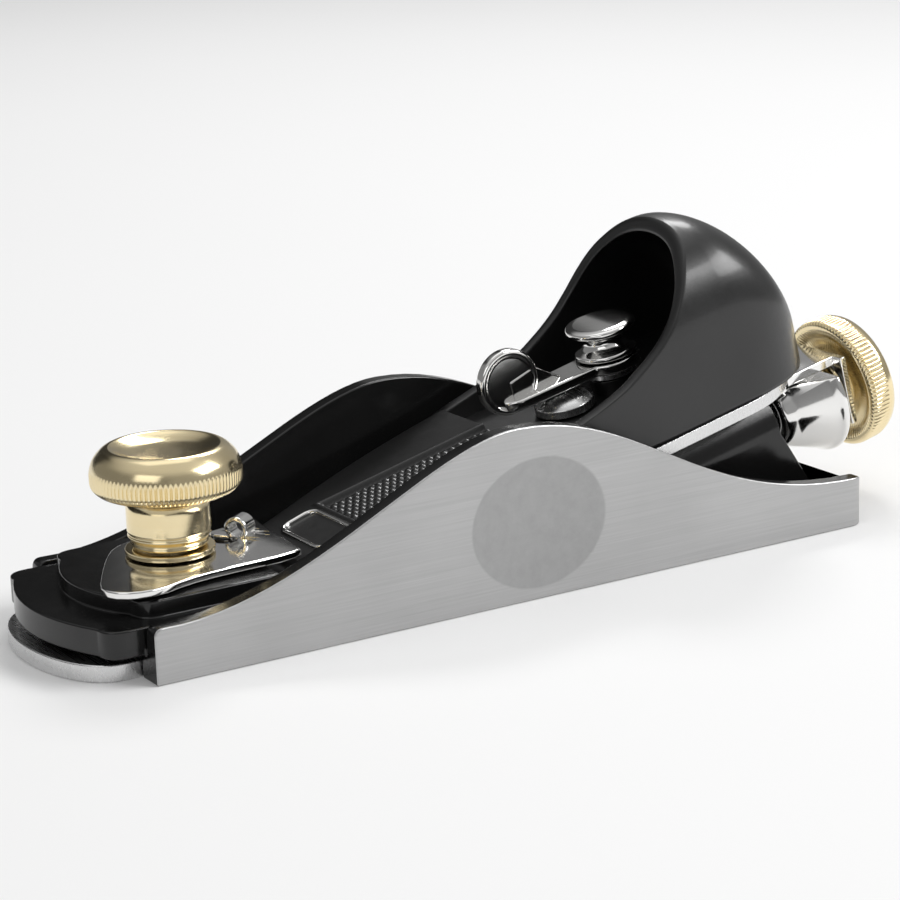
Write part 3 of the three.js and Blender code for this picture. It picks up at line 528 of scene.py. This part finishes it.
tongue = plate("tongue", tongue_end + tongue_root, SWING_LOW, SWING_TOP, bed, 0.3)
settle(join("swing_frame_cast", bell, tongue), nickel, "swing", ["swing_frame"])

# %% [markdown]
# ## The spool
# The cam lever and the cam are riveted together through the cap's web. The rivet's head stands up
# as a small spool, with a waist between two flanges.

# %% Turn the spool on the cam's axis
CAM_AT = 81
cam_axis = bed @ Matrix.Translation((-CAM_AT * MM, 0, 0))
spool_profile = [(0, 4.25), (2.3, 4.25), (2.3, 16.35), (5.8, 16.35), (5.8, 17.2), (4.3, 18.0),
                 (3.6, 19.0), (3.7, 20.0), (4.4, 20.7), (6.5, 21.2), (6.5, 22.2), (5.4, 22.55),
                 (0, 22.65)]
settle(lathe("cam_rivet_turned", eased(spool_profile, 0.5), cam_axis), nickel, "cam",
       ["cam_rivet"])

# %% [markdown]
# ## The cam lever
# A flat nickel plate swings on the spool, and its end stands up as a round thumb pad with a
# raised rim. The plate is an outline pushed up and bevelled; the pad is turned on an axis across
# the tool; a small gusset ties them. They are joined into one piece, as the real one is brazed.


# %% Plate, gusset and thumb pad
ARM_REACH, ARM_HALF, HUB, ARM_FORK = 21.6, 3.0, 6.2, 0.62
LEVER_LOW, LEVER_TOP, PAD_LEVEL = 14, 16, 19.2
GUSSET_HALF = 0.9
hub_arc = [(HUB * cos(a), HUB * sin(a)) for a in np.linspace(ARM_FORK, 2 * pi - ARM_FORK, 60)]
arm_turns = np.linspace(-pi / 2, pi / 2, 30)
arm_end = [(ARM_REACH - 1 + ARM_HALF * cos(a), ARM_HALF * sin(a)) for a in arm_turns]
lever_plate = plate("lever_plate", hub_arc + arm_end, LEVER_LOW, LEVER_TOP, cam_axis, 0.4)
gusset_side = [(9.6, 15), (ARM_REACH, 15), (ARM_REACH, PAD_LEVEL), (16, 20.2)]
gusset = plate("lever_gusset", gusset_side, -GUSSET_HALF, GUSSET_HALF, cam_axis, 0.4, across=True)
pad_middle = Matrix.Translation((ARM_REACH * MM, 0, PAD_LEVEL * MM))
pad_axis = cam_axis @ pad_middle @ Matrix.Rotation(pi / 2, 4, "X")
pad_profile = [(0, -0.7), (4.6, -0.75), (5.2, -1.1), (5.8, -1.1), (6.1, -0.7), (6.1, 0.7), (5.8, 1.1),
               (5.2, 1.1), (4.6, 0.75), (0, 0.7)]
pad = lathe("thumb_pad", eased(pad_profile, 0.3), pad_axis)
settle(join("cam_lever_brazed", lever_plate, gusset, pad), nickel, "cam", ["cam_lever"])

# %% [markdown]
# ## The hood
# The lever cap ends in a hollow dome that fills the palm. It is a skin of even thickness with a
# sweeping front lip, which no primitive resembles. Two grids of points do it: one for the outer
# skin and one for the inner. Each column starts on the lip, runs back along an arch-shaped
# tunnel, and then shrinks to the tail along a superellipse. The lip itself is rolled over, so it
# catches a thin highlight.

# %% The arch, the lip and the tail
CAP_HALF, CAP_BASE, WALL = 17.8, 3.1, 2.3
CROWN, SPRING, FULLNESS = 36.64, 20.0, 0.62
HOOD_AT, TAIL = 97.6, 20.05
PLAN_POWER, SIDE_POWER = 2.6, 1.88
lip_places = np.array([(52, 12), (62.5, 13.6), (70, 15.2), (76.4, 17.7), (81, 20.2), (84.7, 23.1),
                       (88.5, 27.2), (91.7, 31), (94.2, 33.6), (96.6, 36.9)], float)


def smooth_lip(level):
    """How far up the bed the lip lies at a height, on a curve through its places."""
    s, n = lip_places.T
    slope = np.gradient(s, n)
    i = np.clip(np.searchsorted(n, level) - 1, 0, len(n) - 2)
    step = n[i + 1] - n[i]
    t = np.clip((level - n[i]) / step, 0, 1)
    return ((1 + 2 * t) * (1 - t) ** 2 * s[i] + t * (1 - t) ** 2 * step * slope[i]
            + t * t * (3 - 2 * t) * s[i + 1] + t * t * (t - 1) * step * slope[i + 1])


def arch(inset):
    """Half of the hood's section from its foot to its crown, as [across, height] rows."""
    half, crown = CAP_HALF - inset, CROWN - inset
    foot = np.linspace(CAP_BASE, SPRING, 26)[:-1]
    t = np.linspace(0, 1, 44)[:, None]
    handle = SPRING + (crown - SPRING) * FULLNESS
    ends = [np.array(p) for p in ((half, SPRING), (half, handle), (half * FULLNESS, crown), (0, crown))]
    curve = ((1 - t) ** 3 * ends[0] + 3 * t * (1 - t) ** 2 * ends[1] + 3 * t * t * (1 - t) * ends[2]
             + t ** 3 * ends[3])
    right = np.vstack([np.column_stack([np.full(25, half), foot]), curve])
    return np.vstack([right, (right * (-1, 1))[-2::-1]])


def skin(inset, front_pull=0.0):
    """A grid of points: one column per point of the arch, from the lip to the tail."""
    section = arch(inset)
    across, level = section.T
    lip = smooth_lip(level) + front_pull
    rows = []
    for t in np.linspace(0, 1, 22):
        rows.append(np.column_stack([-(lip + (HOOD_AT - lip) * t), across, level]))
    for turn in np.linspace(pi / 2, 0, 46)[1:]:
        back, side = cos(turn) ** (2 / PLAN_POWER), max(sin(turn), 0) ** (2 / PLAN_POWER)
        tall = (1 - min(back, 1) ** SIDE_POWER) ** (1 / SIDE_POWER)
        rear = np.full(len(across), -HOOD_AT - (TAIL - inset) * back)
        rows.append(np.column_stack([rear, side * across, CAP_BASE + tall * (level - CAP_BASE)]))
    return rows


# %% Sew the skins together
def sewn(name, rows, place):
    """A tube of faces through rows of points, each row joined to the next and the last to the first."""
    work = bmesh.new()
    made = [[work.verts.new(Vector(p) * MM) for p in row] for row in rows]
    for one, two in zip(made, made[1:] + made[:1]):
        for a, b, c, d in zip(one, two, two[1:], one[1:]):
            work.faces.new((a, b, c, d))
    for side in (0, -1):
        outer_edge = [row[side] for row in made]
        half = len(outer_edge) // 2
        strip = zip(outer_edge[:half], outer_edge[1:half + 1], outer_edge[::-1], outer_edge[-2::-1])
        for a, b, d, c in strip:
            if len({a, b, c, d}) == 4:
                work.faces.new((a, b, c, d))
    bmesh.ops.remove_doubles(work, verts=work.verts, dist=1e-7)
    bmesh.ops.dissolve_degenerate(work, dist=1e-7, edges=work.edges)
    bmesh.ops.recalc_face_normals(work, faces=work.faces)
    mesh = bpy.data.meshes.new(name)
    work.to_mesh(mesh)
    work.free()
    return stand(name, mesh, place)


LIP_ROLL = 0.7
outer, inner = skin(0, LIP_ROLL), skin(WALL, LIP_ROLL)
roll = []
for t in np.linspace(0, pi, 9)[1:-1]:
    middle = outer[0] + (inner[0] - outer[0]) * (1 - cos(t)) / 2
    roll.append(middle + np.array([LIP_ROLL * sin(t), 0, 0]))
hood = sewn("hood", outer[::-1] + roll + inner, bed)
print("hood", len(hood.data.polygons), "faces")

# %% [markdown]
# ## The cap's front
# Ahead of the hood the cap is a solid wedge with a rounded nose. Its top carries a long tapering
# recess with a raised bead round it and a cast diamond hatching for the thumb. All of that is one
# height field: a function gives the height at each place, and a fine grid follows it, so every
# groove is real geometry that catches the light.

# %% The height of the cap's top
NOSE_AT, NOSE_ROUND, NOSE_HEIGHT, RIM_AT, RIM_HEIGHT = 7.0, 3.4, 8.3, 60.0, 12.9
CAP_REAR = 54.0
PANEL = {"from": 21.5, "to": 55.0, "front": 8.2, "rear": 2.2, "depth": 0.8}
HATCH_PITCH, HATCH_DEPTH, HATCH_LEAN = 1.35, 0.42, radians(34)


def top_line(s):
    start = NOSE_AT + NOSE_ROUND
    return NOSE_HEIGHT + (RIM_HEIGHT - NOSE_HEIGHT) * (s - start) / (RIM_AT - start)


def half_plan(s):
    t = np.linspace(0, 1, 40)
    corner = [(NOSE_AT, 11.5), (NOSE_AT, 13.5), (NOSE_AT + 2, 13.5)]
    flare = [(NOSE_AT + 2, 13.5), (NOSE_AT + 12, 14.5), (NOSE_AT + 20, CAP_HALF),
             (NOSE_AT + 40, CAP_HALF)]
    weights = ((1 - t) ** 2, 2 * t * (1 - t), t ** 2)
    first = [sum(w * p[k] for w, p in zip(weights, corner)) for k in (0, 1)]
    weights = ((1 - t) ** 3, 3 * t * (1 - t) ** 2, 3 * t * t * (1 - t), t ** 3)
    second = [sum(w * p[k] for w, p in zip(weights, flare)) for k in (0, 1)]
    return np.interp(s, np.append(first[0], second[0]), np.append(first[1], second[1]))


def ridge(value):
    return 1 - 2 * np.abs(value - np.floor(value) - 0.5)


def cap_height(s, across, half):
    t = np.sqrt(np.clip((s - NOSE_AT) / NOSE_ROUND, 0, 1))
    nose = ((1 - t) ** 2 * (CAP_BASE + NOSE_ROUND / 2) + 2 * t * (1 - t) * top_line(NOSE_AT)
            + t * t * top_line(NOSE_AT + NOSE_ROUND))
    level = np.where(t < 1, nose, top_line(s))
    edge = np.clip((np.abs(across) - (half - 1.3)) / 1.3, 0, 1)
    level = level - 1.3 * (1 - np.sqrt(1 - edge ** 2))
    back = (s - PANEL["from"]) / (PANEL["to"] - PANEL["from"])
    width = PANEL["front"] + (PANEL["rear"] - PANEL["front"]) * back
    inside = np.minimum(s - PANEL["from"], width - np.abs(across))
    level = level + 0.3 * np.sin(pi * np.clip(-inside / 1.2, 0, 1))
    level = level - PANEL["depth"] * np.clip(inside / 0.35, 0, 1)
    one = ridge((s * cos(HATCH_LEAN) + across * sin(HATCH_LEAN)) / HATCH_PITCH)
    two = ridge((s * cos(HATCH_LEAN) - across * sin(HATCH_LEAN)) / HATCH_PITCH)
    return level + HATCH_DEPTH * np.minimum(one, two) * np.clip((inside - 0.5) / 0.3, 0, 1)


# %% The wedge, the web under the lever and its boss
stations = np.concatenate([NOSE_AT + NOSE_ROUND * np.linspace(0, 1, 14)[:-1] ** 2,
                           np.arange(NOSE_AT + NOSE_ROUND, CAP_REAR, 0.22), [CAP_REAR]])
spread = np.concatenate([np.linspace(-1, -0.92, 8)[:-1], np.linspace(-0.92, 0.92, 136),
                         np.linspace(0.92, 1, 8)[1:]])


def wedge():
    rows = []
    for s in stations:
        half = half_plan(s)
        across = spread * half
        top = np.column_stack([np.full(len(across), -s), across, cap_height(s, across, half)])
        rows.append(np.vstack([[-s, -half, CAP_BASE], top, [-s, half, CAP_BASE]]))
    work = bmesh.new()
    made = [[work.verts.new(Vector(p) * MM) for p in row] for row in rows]
    for one, two in zip(made, made[1:]):
        for a, b, c, d in zip(one, two, two[1:] + two[:1], one[1:] + one[:1]):
            work.faces.new((a, b, c, d))
    work.faces.new(made[0])
    work.faces.new(made[-1][::-1])
    bmesh.ops.recalc_face_normals(work, faces=work.faces)
    mesh = bpy.data.meshes.new("wedge")
    work.to_mesh(mesh)
    work.free()
    return stand("wedge", mesh, bed)


def tail_half(level, turn):
    """Half the hood's width at a height, on one ring of its tail."""
    back, side = cos(turn) ** (2 / PLAN_POWER), sin(turn) ** (2 / PLAN_POWER)
    tall = max(1 - back ** SIDE_POWER, 1e-6) ** (1 / SIDE_POWER)
    across, height = arch(WALL / 2).T
    crown = len(across) // 2
    at = np.interp(CAP_BASE + (level - CAP_BASE) / tall, height[:crown + 1], across[:crown + 1], right=0)
    return HOOD_AT + (TAIL - WALL / 2) * back, side * at


WEB_LOW, WEB_TOP = 6.7, 9.4
tail_ring = [tail_half(WEB_TOP, turn) for turn in np.linspace(pi / 2, 0.15, 30)]
tail_ring = [(s, y) for s, y in tail_ring if y > 0.5]
web_side = [(-CAP_REAR + 0.5, CAP_HALF - 1.2), *[(-s, y) for s, y in tail_ring]]
web = plate("web", web_side + [(x, -y) for x, y in reversed(web_side)], WEB_LOW, WEB_TOP, bed, 0.1)
boss_profile = [(2.65, 9.0), (4.2, 9.0), (4.2, 12.2), (2.65, 12.2), (2.65, 9.0)]
boss = lathe("boss", eased(boss_profile, 0.3), cam_axis)
lever_cap = join("lever_cap_cast", hood, wedge(), web, boss)
settle(lever_cap, enamel, "cap", ["lever_cap"])

# %% [markdown]
# ## The blank nameplate
# A bright raised frame sits near the nose of the cap, where a maker would put a name. The name is
# left out, and the frame stays: a rounded outline with a half-round section, which a swept circle
# makes best. A few points of the profile circle are enough at this size.


# %% Sweep the frame
def name_frame(middle=15.9, half_long=3.7, half_wide=7.6, corner=2.2, bead=0.5):
    path = []
    for cx, cy, start in ((1, 1, 0), (-1, 1, 1), (-1, -1, 2), (1, -1, 3)):
        for a in np.linspace(start * pi / 2, (start + 1) * pi / 2, 9):
            path.append((cx * (half_long - corner) + corner * cos(a),
                         cy * (half_wide - corner) + corner * sin(a)))
    work, rings = bmesh.new(), []
    for i, (x, y) in enumerate(path):
        ahead, behind = Vector(path[(i + 1) % len(path)]), Vector(path[i - 1])
        run = (ahead - behind).normalized()
        ring = []
        for a in np.linspace(0, 2 * pi, 12, endpoint=False):
            out = bead * cos(a)
            s = middle - (x + run.y * out)
            height = top_line(s) + 0.1 + bead * 1.1 * sin(a)
            ring.append(work.verts.new(Vector((-s, y - run.x * out, height)) * MM))
        rings.append(ring)
    for one, two in zip(rings, rings[1:] + rings[:1]):
        for a, b, c, d in zip(one, two, two[1:] + two[:1], one[1:] + one[:1]):
            work.faces.new((a, b, c, d))
    bmesh.ops.recalc_face_normals(work, faces=work.faces)
    mesh = bpy.data.meshes.new("name_frame")
    work.to_mesh(mesh)
    work.free()
    return stand("name_frame", mesh, bed)


settle(name_frame(), nickel, "cap")

# %% [markdown]
# ## A plain studio
# Gloss is only visible through what it reflects, so the studio matters as much as the finishes.
# The floor is pale and even. A large softbox stands high on the right for the sheen on the hood,
# and a smaller one behind catches the far edges. Weak boxes from above and from the front fill the
# shadows. A dark card behind the left keeps the deck black. The card and the walls are drawn in
# the world's own light, by direction, so they need no objects.

# %% The floor
def floor_finish():
    f = Finish("pale_floor")
    haze = f.noise(f.place(), 3, 2)
    return f.surface(Base_Color=f.colour(grey(0.74), grey(0.76), haze), Roughness=0.7 + haze * 0.1,
                     Emission_Color=grey(1.0), Emission_Strength=0.1, Specular_IOR_Level=0.1)


floor_work = bmesh.new()
bmesh.ops.create_circle(floor_work, cap_ends=True, segments=96, radius=6)
floor_mesh = bpy.data.meshes.new("floor")
floor_work.to_mesh(floor_mesh)
floor_work.free()
floor_mesh.materials.append(floor_finish())
floor = stand("floor", floor_mesh, Matrix.Translation((0, 0, -0.05 * MM)))

# %% The walls of the studio
BACKDROP = 0.885
BACK = Vector((0.5106, 0.8173, 0.2605)).normalized()
RIGHT = Vector((0, 0, 1)).cross(BACK).normalized()
AWAY = -Vector((BACK.x, BACK.y, 0)).normalized()


def studio():
    world = bpy.data.worlds.new("studio")
    scene.world = world
    f = Finish("studio", world)
    ray = f.node("ShaderNodeTexCoord", out="Generated")
    along = [f.node("ShaderNodeVectorMath", {"operation": "DOT_PRODUCT"}, {0: ray, 1: v[:]}, "Value")
             for v in (RIGHT, AWAY)]
    height = f.axis(ray, "Z")
    to_right, away = along
    overhead = height.above(0.45, 0.5)
    right_wall = to_right.above(0.0, 0.35)
    card = (1 - to_right.above(-0.13, 0.03)) * to_right.above(-0.75, 0.1) * away.above(0.1, 0.2)
    card = card * (1 - height.above(0.5, 0.15))
    light = 0.22 + overhead * 0.4 + right_wall * (1 - overhead) * 0.1
    light = light * (1 - card * 0.85)
    seen = f.node("ShaderNodeLightPath", out="Is Camera Ray")
    strength = light * (1 - seen) + seen * BACKDROP
    shader = f.node("ShaderNodeBackground", None, {"Color": grey(1.0), "Strength": strength})
    f.node("ShaderNodeOutputWorld", None, {"Surface": shader})


studio()


# %% Softboxes
def softbox(name, side, away, up, size, power):
    data = bpy.data.lights.new(name, "AREA")
    data.shape, data.size, data.size_y, data.energy = "RECTANGLE", size, size * 0.7, power
    lamp = bpy.data.objects.new(name, data)
    scene.collection.objects.link(lamp)
    lamp.location = RIGHT * side + AWAY * away + Vector((0, 0, up))
    lamp.rotation_euler = (-lamp.location).to_track_quat("-Z", "Y").to_euler()


softbox("sheen_box", 0.95, -0.1, 0.8, 0.7, 11)
softbox("edge_box", 0.1, 0.9, 0.9, 0.4, 4)
softbox("top_box", -0.1, 0.25, 1.2, 0.9, 1)
softbox("front_fill", -0.5, -1.0, 0.7, 0.8, 1.5)

# %% [markdown]
# ## The camera
# A long lens from a little above the bench, looking at the left cheek from the toe end. The
# small roll and shift set the tool's slope and its place in the frame.

# %% Camera
TARGET = Vector((-8.05, 0, 22)) * MM
EYE = Vector((244.66, 404.52, 150.91)) * MM
ROLL = radians(-1.73)
look = (TARGET - EYE).normalized()
level_right = look.cross(Vector((0, 0, 1))).normalized()
level_up = level_right.cross(look)
right_axis = level_right * cos(ROLL) + level_up * sin(ROLL)
up_axis = level_up * cos(ROLL) - level_right * sin(ROLL)
lens = bpy.data.cameras.new("camera")
lens.lens, lens.sensor_width = 110.8, 36
lens.shift_x, lens.shift_y = -0.022, -0.0042
lens.clip_start = 0.01
camera = bpy.data.objects.new("camera", lens)
scene.collection.objects.link(camera)
turned = Matrix((right_axis, up_axis, -look)).transposed().to_4x4()
camera.matrix_world = Matrix.Translation(EYE) @ turned
scene.camera = camera
scene.view_settings.view_transform = "Standard"
print("camera at", [round(v, 3) for v in EYE])
